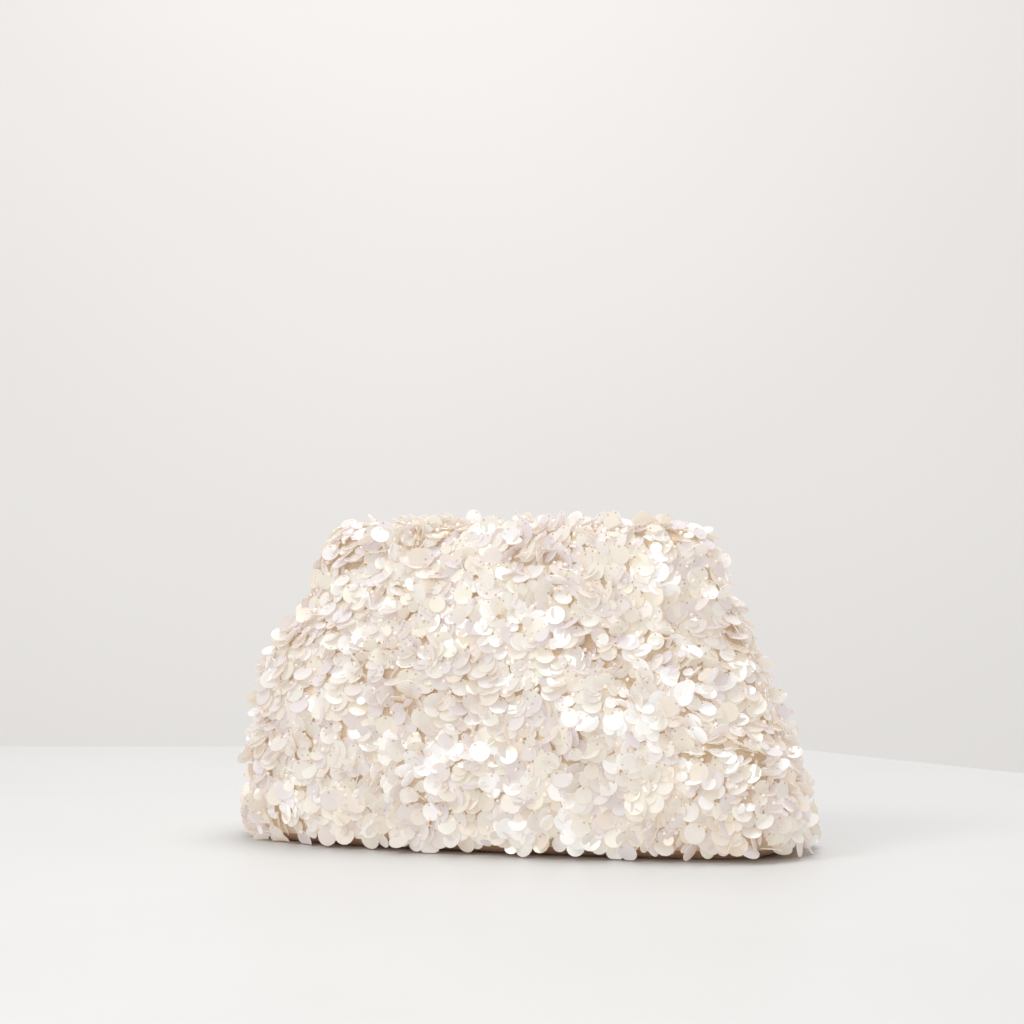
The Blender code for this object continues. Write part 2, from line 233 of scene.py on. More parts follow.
def placed(name, mesh, work=None, finish=None):
    """A new object for this mesh, with the work on it written back first, in this finish."""
    if work:
        work.to_mesh(mesh)
        work.free()
    if finish:
        mesh.materials.append(finish.material)
    obj = bpy.data.objects.new(name, mesh)
    scene.collection.objects.link(obj)
    return obj


def solid_between(name, low, high, outline, finish):
    """A flat slab with this outline, from one height to another."""
    mesh = bpy.data.meshes.new(name)
    work = bmesh.new()
    lower = [work.verts.new((x, y, low)) for x, y in outline]
    upper = [work.verts.new((x, y, high)) for x, y in outline]
    work.faces.new(lower[::-1])
    work.faces.new(upper)
    for k in range(len(outline)):
        after = (k + 1) % len(outline)
        work.faces.new((lower[k], lower[after], upper[after], upper[k]))
    bmesh.ops.recalc_face_normals(work, faces=work.faces)
    return placed(name, mesh, work, finish)


def from_camera(right, ahead):
    """A point on the table this far to the right of the camera and this far in front of it."""
    point = camera.location + across * right + away * ahead
    return point.x, point.y


painted = Finish("table_paint", {"Base Color": (0.57, 0.565, 0.555, 1), "Roughness": 0.45})
mottle = painted.noise(painted.place(), 6, 3)
tone = painted.ramp(mottle, (0.3, (0.548, 0.546, 0.541)), (0.7, (0.563, 0.561, 0.556)))
painted.drive("Base Color", tone)
painted.bump(painted.noise(painted.place(), 900, 2), 0.05, 0.0002)
corners = ((-1.6, 1.786), (0.190, 1.786), (0.70, 1.15), (1.10, -0.40), (-1.6, -0.40))
table = solid_between("table", -0.03, 0, [from_camera(*corner) for corner in corners], painted)

plaster = Finish("wall_paint", {"Base Color": (0.78, 0.76, 0.745, 1), "Roughness": 0.9})
haze = plaster.noise(plaster.place(), 1.2, 1)
tone = plaster.ramp(haze, (0.3, (0.77, 0.752, 0.737)), (0.7, (0.79, 0.773, 0.76)))
plaster.drive("Base Color", tone)
corners = ((-3.0, 3.2), (3.0, 3.2), (3.0, 3.3), (-3.0, 3.3))
backdrop = solid_between("wall", -1.2, 2.4, [from_camera(*corner) for corner in corners], plaster)


def soft_light(name, place, target, size, power, colour=(1, 1, 1)):
    lamp = bpy.data.lights.new(name, "AREA")
    lamp.shape = "DISK"
    lamp.size = size
    lamp.energy = power
    lamp.color = colour
    obj = bpy.data.objects.new(name, lamp)
    obj.location = place
    obj.rotation_euler = (Vector(target) - Vector(place)).to_track_quat("-Z", "Y").to_euler()
    scene.collection.objects.link(obj)


soft_light("key_light", (-0.85, -1.10, 1.35), (0, 0, 0.08), 0.60, 12.0, (1.0, 0.99, 0.97))
soft_light("top_light", (0.25, 0.10, 1.60), (0, 0, 0.10), 0.9, 14)
soft_light("front_fill", (-0.05, -1.9, 0.75), (0, 0, 0.09), 1.3, 9, (1.0, 0.99, 0.98))
soft_light("wall_light", (-0.6, 1.1, 1.9), (0.2, 1.9, 0.2), 1.2, 8.5, (1.0, 0.985, 0.965))
world = bpy.data.worlds.new("room")
world.use_nodes = True
room = world.node_tree.nodes["Background"].inputs
room["Color"].default_value = (0.985, 0.982, 0.98, 1)
room["Strength"].default_value = 0.72
scene.world = world
scene.view_settings.view_transform = "Standard"

# ------------------------------------------------------------------ outer cloth
# Champagne net over a cotton base, cut as a front and a back and sewn round the frame, so each
# half runs from the base to the mouth in one piece. The ends fold in between the two frames.

SQUARENESS = 3.0
# Height, half length and half depth of the cloth, how far its ends dip in at the mouth line as a
# share of the half length, the same for the creases beside the frame, and how far the soft bag
# leans to the right here. All sizes in mm.
CLOTH_STATIONS = np.array([
    (1.0, 137.0, 45.5, 0.010, 0.000, 2.0),
    (4.0, 144.5, 51.0, 0.012, 0.000, 2.5),
    (10.0, 148.5, 55.5, 0.016, 0.000, 3.0),
    (22.0, 148.0, 57.0, 0.022, 0.004, 2.5),
    (38.0, 144.5, 57.2, 0.028, 0.006, 1.0),
    (54.0, 142.0, 56.8, 0.036, 0.018, 0.0),
    (68.0, 140.5, 56.2, 0.046, 0.045, -0.5),
    (82.0, 138.0, 55.0, 0.066, 0.165, -1.0),
    (96.0, 133.5, 52.0, 0.078, 0.250, -1.0),
    (112.0, 126.0, 46.5, 0.066, 0.245, -1.0),
    (128.0, 115.0, 39.0, 0.040, 0.200, -1.0),
    (142.0, 108.5, 31.5, 0.030, 0.090, -1.0),
    (152.0, 103.0, 25.0, 0.014, 0.025, -1.0),
    (158.0, 99.0, 20.0, 0.006, 0.005, -1.0),
    (161.8, 95.0, 15.0, 0.002, 0.000, -1.0),
    (163.4, 91.0, 9.0, 0.000, 0.000, -1.0),
    (163.9, 86.5, 2.0, 0.000, 0.000, -1.0),
])
# How far the right end of the front wall and of the back wall is drawn in, as a share of the
# half length, at each height in mm. The bag leans on that corner.
DRAWN_IN = np.array([
    (45, 0.00, 0.000), (60, 0.04, 0.010), (76, 0.12, 0.030), (96, 0.18, 0.055),
    (112, 0.19, 0.060), (129, 0.15, 0.040), (145, 0.04, 0.010), (156, 0.00, 0.000),
])
VALLEY_WIDTH = 0.017
CREASE_PLACE = 0.0195
CREASE_WIDTH = 0.0065
INNER_FALL_OFF = 0.0078
MOUTH_HALF_GAP = 0.0006
NET_THICKNESS = 0.0009
NET_GRID = (70, 150)
BROAD_SWELL, FOLD_SWELL = 0.0042, 0.0026
# Height of the dark brown band painted at the foot of the net: painted shade, the contact shadow under
# the bag's edge.
SHADE_BAND_HEIGHT = 0.0052
SIDES = {"front": -1, "back": 1}


def station(t):
    """Sizes of the level section at this station number, in metres, through a smooth curve."""
    last = len(CLOTH_STATIONS) - 1
    k = int(min(max(math.floor(t), 0), last - 1))
    u = t - k
    p0, p1, p2, p3 = (CLOTH_STATIONS[min(max(k + d, 0), last)] for d in (-1, 0, 1, 2))
    row = 0.5 * (2 * p1 + (p2 - p0) * u + (2 * p0 - 5 * p1 + 4 * p2 - p3) * u * u
                 + (3 * p1 - p0 - 3 * p2 + p3) * u ** 3)
    height, length, depth, valley, crease, lean = row
    return height / 1000, length / 1000, depth / 1000, valley, crease, lean / 1000


def station_at(height):
    """The station number whose section lies at this height."""
    return float(np.interp(height * 1000, CLOTH_STATIONS[:, 0], range(len(CLOTH_STATIONS))))


def inner_fade(y):
    """How much of the dip at an end an inner ply has at this distance from the mouth line."""
    return np.exp(-((np.maximum(y - CREASE_PLACE, 0) / INNER_FALL_OFF) ** 2))


def half_outline(t, clear, columns, ply):
    """Half of a level section, evenly spaced, from the right end by way of y > 0 to the left. An
    inner ply has one wide dip at its ends, where the outer cloth has its two creases."""
    height, length, depth, valley, crease, lean = station(t)
    angle = np.linspace(0, math.pi, 1400)
    power = 2 / SQUARENESS
    y = depth * np.sin(angle).clip(0) ** power
    x = length * np.sign(np.cos(angle)) * np.abs(np.cos(angle)) ** power
    if ply == "outer":
        dip = valley * np.exp(-((y / VALLEY_WIDTH) ** 2))
        dip += crease * np.exp(-(((y - CREASE_PLACE) / CREASE_WIDTH) ** 2))
    else:
        dip = (valley + crease) * inner_fade(y)
    x = x * (1 - dip) + lean
    keep = y >= clear if depth > clear else np.ones_like(y, bool)
    x, y = x[keep], np.maximum(y[keep], min(clear, depth))
    run = np.concatenate([[0], np.cumsum(np.hypot(np.diff(x), np.diff(y)))])
    even = np.linspace(0, run[-1], columns)
    points = np.empty((columns, 3))
    points[:, 0], points[:, 1] = np.interp(even, run, x), np.interp(even, run, y)
    points[:, 2] = height
    return points


def mouth_clearance(height, most):
    """Half the gap between the two cloths, which meet under the hinge and part above it."""
    share = min(max((height - 0.068) / 0.020, 0), 1)
    return 0.00012 + (most - 0.00012) * share


def lumps(*at):
    """Smooth noise at this point."""
    return noise.noise(Vector(at))


def slouch(point):
    """How far the soft wall swells out here: broad folds that fade at the base and the mouth."""
    x, y, z = point
    broad = lumps(x * 14 + 3.1, y * 16, z * 24 + 1.7)
    fold = lumps(x * 30 + z * 22, y * 30 + 8.0, z * 46 - x * 9)
    fade = min(z / 0.025, 1) * min(max((0.172 - z) / 0.03, 0), 1)
    fade *= min(max((abs(y) - 0.004) / 0.014, 0.15), 1)
    return fade * (BROAD_SWELL * broad + FOLD_SWELL * fold)


def wall(side, inward, rows, columns, low=0.0, high=None, clear=MOUTH_HALF_GAP, ply="outer"):
    """A grid of points on one half's wall, this far inside the cloth's outer face."""
    high = len(CLOTH_STATIONS) - 1 if high is None else high
    grid = []
    for t in np.linspace(low, high, rows):
        gap = mouth_clearance(station(t)[0], clear) if ply == "outer" else clear
        grid.append(half_outline(t, gap, columns, ply))
    grid = np.array(grid)
    drawn = np.interp(grid[:, :, 2] * 1000, DRAWN_IN[:, 0], DRAWN_IN[:, 1 if side < 0 else 2])
    share = np.clip((grid[:, :, 1] - 0.009) / 0.016, 0, 1)
    drawn *= share * share * (3 - 2 * share) * (grid[:, :, 0] > 0)
    grid[:, :, 0] *= 1 - drawn
    normal = np.cross(np.gradient(grid, axis=1), np.gradient(grid, axis=0))
    normal /= np.maximum(np.linalg.norm(normal, axis=2, keepdims=True), 1e-12)
    if normal[rows // 2, columns // 2, 1] < 0:
        normal = -normal
    swell = np.array([[slouch((p[0], side * p[1], p[2])) for p in row] for row in grid])
    floor = grid[:, :, 1].copy()
    grid = grid + normal * (swell - inward)[:, :, None]
    grid[:, :, 1] = np.maximum(grid[:, :, 1], np.minimum(floor, clear))
    grid[:, :, 2] = np.maximum(grid[:, :, 2], 0.0006)
    grid[:, :, 1] *= side
    return grid


def sheet_mesh(name, outer, inner, finish):
    """A closed sheet between two grids of points, smooth on its two faces."""
    rows, columns = outer.shape[:2]
    mesh = bpy.data.meshes.new(name)
    work = bmesh.new()
    faces = []
    outer_verts = [[work.verts.new(p) for p in row] for row in outer]
    inner_verts = [[work.verts.new(p) for p in row] for row in inner]
    for r in range(rows - 1):
        for c in range(columns - 1):
            for grid, order in ((outer_verts, 1), (inner_verts, -1)):
                ring = (grid[r][c], grid[r][c + 1], grid[r + 1][c + 1], grid[r + 1][c])
                faces.append(work.faces.new(ring[::order]))
    edge = [(0, c) for c in range(columns)] + [(r, columns - 1) for r in range(1, rows)]
    edge += [(rows - 1, c) for c in range(columns - 2, -1, -1)]
    edge += [(r, 0) for r in range(rows - 2, 0, -1)]
    for (r, c), (s, d) in zip(edge, edge[1:] + edge[:1]):
        ring = (inner_verts[r][c], inner_verts[s][d], outer_verts[s][d], outer_verts[r][c])
        faces.append(work.faces.new(ring))
    for face in faces:
        face.smooth = True
    bmesh.ops.recalc_face_normals(work, faces=work.faces)
    if work.calc_volume(signed=True) < 0:
        bmesh.ops.reverse_faces(work, faces=work.faces)
    return placed(name, mesh, work, finish)


def sheet_area(grid):
    a = grid[1:, 1:] - grid[:-1, :-1]
    b = grid[1:, :-1] - grid[:-1, 1:]
    return float(np.linalg.norm(np.cross(a, b), axis=2).sum() / 2)


def bends(piece):
    """Bakes the piece's transform into its mesh."""
    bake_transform(piece)


net = Finish("champagne_net", {"Roughness": 0.75, "Sheen Weight": 0.35, "Sheen Roughness": 0.5})
at = net.place()
fine = {"Distortion": 1.2, "Detail": 1.0}
weave = net.threads(at, "X", 420.0, **fine) * net.threads(at, "Z", 420.0, **fine)
shade = net.noise(at, 55, 4, 0.6)
tone = net.ramp(
    shade, (0.30, (0.66, 0.47, 0.29)), (0.50, (0.80, 0.63, 0.45)), (0.72, (0.90, 0.77, 0.61)))
tone = net.mix(weave * 0.45, tone, (0.93, 0.85, 0.73, 1))
# The lowest few mm of the net are painted dark brown: painted shade standing in for the contact shadow
# under the bag's front edge.
foot_shade_and_pocket_hem = net.split(at)[2] < SHADE_BAND_HEIGHT
net.drive("Base Color", net.mix(foot_shade_and_pocket_hem, tone, (0.46, 0.21, 0.08, 1)))
net.bump(weave + shade * 0.6, 0.6, 0.0006)

cloth = {}
for word, side in SIDES.items():
    outer = wall(side, 0, *NET_GRID)
    piece = sheet_mesh(f"{word}_cloth", outer, wall(side, NET_THICKNESS, *NET_GRID), net)
    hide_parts(f"{word}_outer_panel", "pouch_outer_wall")
    sheet_area(outer)
    bends(piece)
    cloth[word] = (piece, outer)

# ------------------------------------------------------------------ base cloth
# The same net and cotton laid flat under the bag, sewn to the walls along the base edge. It is
# turned up a little all round, so the bag stands on its middle and not on the seam.

BASE_CLOTH_THICKNESS = 0.0012
BASE_CLEARANCE = 0.0002
BASE_TURN_UP = 0.0016

cotton = Finish("tan_cotton", {"Roughness": 0.9, "Sheen Weight": 0.2})
at = cotton.place()
across_thread = cotton.threads(at, "X", 520.0, Distortion=1.0)
along_thread = cotton.threads(at, "Y", 520.0, Distortion=1.0)
slub = cotton.noise(at, 80, 4)
# The cotton is painted a dark, saturated brown: painted shade, so the gap under the bag reads as a
# warm contact shadow.
tone = cotton.ramp(slub, (0.3, (0.48, 0.23, 0.09)), (0.7, (0.60, 0.33, 0.15)))
cotton.drive("Base Color", cotton.mix(across_thread * along_thread * 0.5, tone, (0.68, 0.50, 0.32, 1)))
cotton.bump(across_thread + along_thread + slub, 0.5, 0.0003)


def floor_grid(low, level, inset, rows, columns, ply):
    """A grid over the whole plan of the bag at this station, from its left end to its right."""
    near = half_outline(low, 0.0, columns, ply)
    grid = np.empty((rows, columns, 3))
    shrink = 1 - inset / 0.06
    for r, v in enumerate(np.linspace(-1, 1, rows)):
        grid[r, :, 0] = near[:, 0] * (1 - inset / 0.15)
        grid[r, :, 1] = near[:, 1] * v * shrink
        grid[r, :, 2] = level
    return grid


def rounded_ends(grid):
    """The same grid with its two end columns opened out, so that no face there is a point."""
    rows = grid.shape[0]
    for column, inner in ((0, 1), (-1, -2)):
        grid[:, column, 1] = np.linspace(-1, 1, rows) * abs(grid[-1, inner, 1]) * 0.35
    return grid


def edge_share(grid):
    """0 over the middle of a floor grid, rising to 1 at its edge."""
    across_share = np.abs(np.linspace(-1, 1, grid.shape[0]))[:, None]
    along = np.abs(grid[:, :, 0]) / np.abs(grid[:, :, 0]).max()
    return np.maximum(across_share, along)


under = floor_grid(low=0.4, level=0.0, inset=0.0008, rows=30, columns=90, ply="outer")
under = rounded_ends(under)
under[:, :, 2] = BASE_CLEARANCE + BASE_TURN_UP * np.clip((edge_share(under) - 0.9) / 0.1, 0, 1) ** 2
above = under + np.array([0, 0, BASE_CLOTH_THICKNESS])
base_cloth = sheet_mesh("base_cloth", under, above, cotton)
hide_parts("bottom_panel")
sheet_area(under)
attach(base_cloth, "pouch_body")

# ------------------------------------------------------------------ base board
# A stiff grey fibre board that keeps the base flat. It slides in between the base cloth and the
# wadding, and is not glued.

board = Finish("fibre_board", {"Roughness": 0.9})
fibres = board.node("ShaderNodeMapping", None, {0: board.place(), "Scale": (1.0, 3.0, 1.0)})
fleck = board.noise(fibres, 260, 5, 0.7)
board.drive("Base Color", board.ramp(
    fleck, (0.3, (0.42, 0.35, 0.27)), (0.55, (0.56, 0.48, 0.38)), (0.75, (0.66, 0.58, 0.47))))
board.bump(fleck, 0.4, 0.0004)


def refinish(node, material):
    for obj in bpy.data.objects:
        if obj.name == node:
            for slot_of in obj.material_slots:
                slot_of.material = material


refinish("base_board", board.material)

# ------------------------------------------------------------------ wadding
# Thin needled polyester between the cloth and the lining, which gives the walls their soft
# swell. Each half has one sheet from the base to just under the mouth, sewn in at its edges.

fleece = Finish("needled_wadding", {"Roughness": 0.95, "Sheen Weight": 0.4, "Sheen Roughness": 0.6})
clump = fleece.noise(fleece.place(), 90, 5, 0.65)
hair = fleece.stretched_noise((1, 4, 1), 700, 3)
tone = fleece.ramp(clump, (0.3, (0.80, 0.78, 0.74)), (0.7, (0.93, 0.92, 0.89)))
fleece.drive("Base Color", tone)
fleece.bump(clump + hair * 0.5, 0.7, 0.0008)
WADDING_OUTSIDE, WADDING_INSIDE = 0.0016, 0.0028
WADDING_SHAPE = {"rows": 44, "columns": 90, "low": 1.0, "high": 13.0, "clear": 0.016, "ply": "inner"}

for word, side in SIDES.items():
    outer = wall(side, WADDING_OUTSIDE, **WADDING_SHAPE)
    inner = wall(side, WADDING_INSIDE, **WADDING_SHAPE)
    piece = sheet_mesh(f"{word}_wadding", outer, inner, fleece)
    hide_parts(f"{word}_padding", "pouch_padding")
    sheet_area(outer)
    bends(piece)

# ------------------------------------------------------------------ lining
# Champagne satin, cut as two walls and a floor. The walls are sewn to the frame sleeves at the
# top and left a little full, so they pucker. The floor lies loose over the base board.

satin = Finish("champagne_satin", {
    "Sheen Weight": 0.3, "Sheen Roughness": 0.35, "Specular IOR Level": 0.6, "Anisotropic": 0.5,
})
at = satin.place()
warp = satin.threads(at, "X", 900.0, Distortion=0.6, Detail=1.0)
weft = satin.threads(at, "Z", 480.0, Distortion=0.6, Detail=1.0)
sheen = satin.noise(at, 24, 3, 0.55)
pucker = satin.noise(satin.node("ShaderNodeMapping", None, {0: at, "Scale": (2.6, 1.0, 0.7)}), 70, 3)
tone = satin.ramp(
    sheen, (0.3, (0.70, 0.60, 0.48)), (0.5, (0.80, 0.71, 0.60)), (0.7, (0.88, 0.81, 0.71)))
satin.drive("Base Color", satin.mix(warp * 0.25, tone, (0.93, 0.87, 0.78, 1)))
satin.drive("Roughness", 0.30 + sheen * 0.16)
satin.bump(warp * 0.08 + weft * 0.06 + pucker * 0.9, 0.55, 0.0012)
LINING_INSIDE = 0.0033
LINING_THICKNESS = 0.0005
LINING_CLEAR = 0.0096
LINING_SHAPE = {
    "rows": 52, "columns": 130, "low": 1.4, "high": 14.0, "clear": LINING_CLEAR, "ply": "inner",
}
PUCKER_DEPTH = 0.0016
FLOOR_LUMP = 0.0007
FLOOR_TURN_UP = 0.0015


def fullness(grid, seed):
    """Small soft puckers across a lining wall, none at its edges."""
    rows, columns = grid.shape[:2]
    out = np.zeros((rows, columns))
    for r in range(rows):
        for c in range(columns):
            x, y, z = grid[r, c]
            fade = min(r / 4, (rows - 1 - r) / 4, c / 5, (columns - 1 - c) / 5, 1)
            wave = lumps(x * 75 + seed, y * 75, z * 26) + 0.5 * lumps(x * 40, seed, z * 60)
            out[r, c] = -PUCKER_DEPTH * max(0, fade) * (0.6 + wave)
    return out


for word, side in SIDES.items():
    outer = wall(side, LINING_INSIDE, **LINING_SHAPE)
    inner = wall(side, LINING_INSIDE + LINING_THICKNESS, **LINING_SHAPE)
    inward = inner - outer
    inward = inward / np.maximum(np.linalg.norm(inward, axis=2, keepdims=True), 1e-9)
    shift = -inward * fullness(outer, 3.0 if side < 0 else 8.0)[:, :, None]
    piece = sheet_mesh(f"{word}_lining_wall", outer + shift, inner + shift, satin)
    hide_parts(f"{word}_lining", "pouch_lining")
    sheet_area(outer)
    bends(piece)

top = floor_grid(low=1.6, level=0.0072, inset=0.0058, rows=36, columns=100, ply="inner")
top = rounded_ends(top)
for point in top.reshape(-1, 3):
    point[2] += FLOOR_LUMP * lumps(point[0] * 38, point[1] * 52, 4.0)
top[:, :, 2] += FLOOR_TURN_UP * np.clip((edge_share(top) - 0.86) / 0.14, 0, 1) ** 2
floor_lining = sheet_mesh("floor_lining", top, top - np.array([0, 0, LINING_THICKNESS]), satin)
sheet_area(top)
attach(floor_lining, "pouch_body")

# ------------------------------------------------------------------ slip pocket
# A satin patch on the back wall, open at the top, sewn down on its other three sides. Its
# mouth stands off the wall a little, as a used pocket does.

POCKET_HALF = 0.055
POCKET_LOW, POCKET_HIGH = 0.014, 0.060
POCKET_THICKNESS = 0.0006
POCKET_GAP = 0.0012
MOUTH_GAPE, MOUTH_SAG = 0.0042, 0.0020
patch = wall(
    1, LINING_INSIDE + LINING_THICKNESS + POCKET_GAP, rows=26, columns=240, clear=LINING_CLEAR,
    low=station_at(POCKET_LOW), high=station_at(POCKET_HIGH), ply="inner")
middle = patch.shape[1] // 2
span = int(np.sum(np.abs(patch[0, :, 0]) < POCKET_HALF) // 2)
patch = patch[:, middle - span:middle + span:2]
rise = np.linspace(0, 1, patch.shape[0])[:, None]
lane = np.linspace(-1, 1, patch.shape[1])[None, :]
patch[:, :, 1] -= MOUTH_GAPE * rise ** 2 * (1 - lane ** 2) + 0.0004 * np.sin(lane * 19) * rise
patch[:, :, 2] -= MOUTH_SAG * rise * (1 - lane ** 2)
slip = sheet_mesh("slip_pocket_patch", patch, patch + np.array([0, POCKET_THICKNESS, 0]), satin)
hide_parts("slip_pocket")
sheet_area(patch)
bends(slip)

# ------------------------------------------------------------------ side gussets
# A pleated fan of satin in each end, which lets the pouch open. Its two edges are sewn to the
# lining walls, and its middle folds inwards to a crease under the hinge rivet.

GUSSET_HALF_WIDTH = 0.0190
GUSSET_INSET = 0.0058
PLEATS = 3
PLEAT_DEPTH = 0.0011
# Where the middle fold stands under the rivet, how much further out it is at the foot, from
# which share of the height the gusset narrows, and by how much.
FOLD_PLACE, FOLD_SPREAD = 0.1175, 0.018
NARROWS_FROM, NARROWS_BY = 0.62, 0.78


def gusset_grid(end, offset, rows=40, columns=61):
    low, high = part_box(f"side_gusset_{'right' if end > 0 else 'left'}")
    grid = np.empty((rows, columns, 3))
    for r, t in enumerate(np.linspace(station_at(low.z + 0.001), station_at(high.z - 0.0006), rows)):
        height, length, depth, valley, crease, lean = station(t)
        rise = r / (rows - 1)
        narrower = max(0, (rise - NARROWS_FROM) / (1 - NARROWS_FROM))
        width = GUSSET_HALF_WIDTH * (1 - NARROWS_BY * narrower)
        dip = (valley + crease) * inner_fade(width)
        side_x = length * (1 - (width / depth) ** SQUARENESS) ** (1 / SQUARENESS) * (1 - dip)
        side_x -= GUSSET_INSET
        fold_x = FOLD_PLACE + FOLD_SPREAD * (1 - rise) ** 1.3
        fold_x = min(fold_x, side_x - 0.0015)
        for c, s in enumerate(np.linspace(-1, 1, columns)):
            near = 1 - abs(s)
            ripple = PLEAT_DEPTH * math.sin(near * PLEATS * 2 * math.pi)
            ripple *= math.sin(math.pi * abs(s)) * (0.3 + 0.7 * rise)
            x = side_x + (fold_x - side_x) * near ** 1.15 + ripple
            grid[r, c] = (end * (x - offset) + lean * 0.4, width * s, height)
    return grid


for word, end in (("left", -1), ("right", 1)):
    sheet = gusset_grid(end, 0.0)
    piece = sheet_mesh(f"gusset_{word}", sheet, gusset_grid(end, LINING_THICKNESS), satin)
    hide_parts(f"side_gusset_{word}")
    sheet_area(sheet)
    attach(piece, "pouch_body")

# ------------------------------------------------------------------ frames
# Each half hangs on a U of sprung steel strip, bent on edge, with a round eye at each foot. The
# strip is bare brushed steel, because a sleeve hides it.

steel = Finish("brushed_spring_steel", {"Metallic": 1.0, "Anisotropic": 0.6})
grain = steel.stretched_noise((0.15, 1.0, 1.0), 1500, 3)
smear = steel.noise(steel.place(), 45, 3)
steel.drive("Base Color", steel.mix(smear * 0.5, (0.56, 0.56, 0.57, 1), (0.66, 0.65, 0.64, 1)))
steel.drive("Roughness", 0.26 + grain * 0.16)
steel.bump(grain, 0.12, 0.0001)
for word in SIDES:
    refinish(f"{word}_frame", steel.material)

# ------------------------------------------------------------------ frame sleeves
# Cream twill tape folded round each frame strip and sewn shut along its edge. It is a little
# loose on the strip, so it gathers.

twill = Finish("cream_twill", {"Roughness": 0.82, "Sheen Weight": 0.25, "Sheen Roughness": 0.5})
slant = twill.node("ShaderNodeMapping", None, {0: twill.place(), "Rotation": (0.6, 0.78, 0.3)})
rib = twill.threads(slant, "DIAGONAL", 620.0, Distortion=0.8, Detail=1.5)
worn = twill.noise(twill.place(), 60, 4)
tone = twill.ramp(worn, (0.3, (0.70, 0.62, 0.50)), (0.7, (0.83, 0.76, 0.65)))
twill.drive("Base Color", twill.mix(rib * 0.4, tone, (0.90, 0.84, 0.74, 1)))
twill.bump(rib * 0.6 + worn * 0.4, 0.6, 0.0004)
SLEEVE_GATHER, TAPE_GATHER = 0.00016, 0.00014
FINE_EDGE = 0.0022


def softened(node, name, depth, cuts, finish):
    """A closed copy of a node's mesh, cut finer and gathered a little like loose cloth."""
    source = [obj for obj in bpy.data.objects if obj.name == node][0]
    work = bmesh.new()
    work.from_mesh(source.data)
    bmesh.ops.remove_doubles(work, verts=work.verts, dist=0.00001)
    bmesh.ops.dissolve_limit(work, angle_limit=0.002, verts=work.verts, edges=work.edges)
    bmesh.ops.triangulate(work, faces=work.faces)
    for _ in range(cuts):
        long = [edge for edge in work.edges if edge.calc_length() > FINE_EDGE]
        bmesh.ops.subdivide_edges(work, edges=long, cuts=1, use_grid_fill=True)
        bmesh.ops.triangulate(work, faces=work.faces)
    work.normal_update()
    for vert in work.verts:
        at = vert.co
        pull = lumps(*at * 210) + 0.6 * lumps(at.x * 420, at.y * 60, at.z * 420)
        vert.co = at - vert.normal * depth * (0.5 + 0.5 * pull)
    mesh = bpy.data.meshes.new(name)
    for face in work.faces:
        face.smooth = True
    return placed(name, mesh, work, finish)


for word in SIDES:
    piece = softened(f"{word}_frame_sleeve", f"{word}_frame_sleeve_tape", SLEEVE_GATHER, 3, twill)
    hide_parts(f"{word}_frame_sleeve")
    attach(piece, f"{word}_half")

# ------------------------------------------------------------------ hinge rivets and washers
# Nickel-plated tubular rivets join the eyes of the two frames at each end, with a washer
# between the eyes.

nickel = Finish("nickel_plate", {"Metallic": 1.0})
scuff = nickel.noise(nickel.place(), 900, 4)
dull = nickel.noise(nickel.place(), 120, 2)
nickel.drive("Base Color", nickel.mix(dull * 0.4, (0.74, 0.72, 0.68, 1), (0.62, 0.58, 0.52, 1)))
nickel.drive("Roughness", 0.16 + scuff * 0.22)
nickel.bump(scuff, 0.08, 0.0001)
for word in ("left", "right"):
    refinish(f"hinge_rivet_{word}", nickel.material)
    refinish(f"hinge_washer_{word}", nickel.material)

# ------------------------------------------------------------------ magnets and their tapes
# Two flat nickel-plated magnets in each half, in a twill tape sewn under the frame sleeve. They
# pull the mouth shut.

for word in SIDES:
    for end in ("left", "right"):
        refinish(f"{word}_magnet_{end}", nickel.material)
    piece = softened(f"{word}_magnet_tape", f"{word}_magnet_pocket", TAPE_GATHER, 4, twill)
    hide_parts(f"{word}_magnet_tape")
    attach(piece, f"{word}_half")

# ------------------------------------------------------------------ lip piping
# A narrow satin cord, sewn along the free edge of each half: up one end beside the frame, along
# the mouth and down the other end. The two cords all but touch when the bag is shut.

PIPING_RADIUS = 0.0010
PIPING_HALF_GAP = 0.0001
PIPING_DROP = 0.0004


def made_by(tree, mesh, name, values):
    """Runs a geometry tree on a mesh with these inputs, and returns a plain mesh object."""
    obj = placed(name, mesh)
    modifier = obj.modifiers.new(tree.name, "NODES")
    modifier.node_group = tree
    items = tree.interface.items_tree
    keys = {item.name: item.identifier for item in items if item.in_out == "INPUT"}
    for key, value in values.items():
        modifier[keys[key]] = value
    bpy.context.view_layer.update()
    graph = bpy.context.evaluated_depsgraph_get()
    result = bpy.data.meshes.new_from_object(obj.evaluated_get(graph))
    obj.modifiers.remove(modifier)
    obj.data = result
    return obj


def new_tree(name, base, numbers, others=()):
    """An empty geometry tree that takes a base, numbers and a finish, and its group input."""
    tree = bpy.data.node_groups.new(name, "GeometryNodeTree")
    graph = Graph(tree)
    tree.interface.new_socket("Result", in_out="OUTPUT", socket_type="NodeSocketGeometry")
    tree.interface.new_socket(base, in_out="INPUT", socket_type="NodeSocketGeometry")
    for number in numbers:
        tree.interface.new_socket(number, in_out="INPUT", socket_type="NodeSocketFloat")
    for other in others:
        tree.interface.new_socket(other, in_out="INPUT", socket_type="NodeSocketInt")
    tree.interface.new_socket("Finish", in_out="INPUT", socket_type="NodeSocketMaterial")
    return graph, graph.node("NodeGroupInput")


def finish_tree(graph, solid, given):
    """Ends a tree: its instances made real, and in the finish that it was given."""
    solid = graph.node("GeometryNodeRealizeInstances", None, {"Geometry": solid})
    sockets = {"Geometry": solid, "Material": given["Finish"]}
    solid = graph.node("GeometryNodeSetMaterial", None, sockets)
    graph.node("NodeGroupOutput", None, {"Result": solid})
    return graph.tree


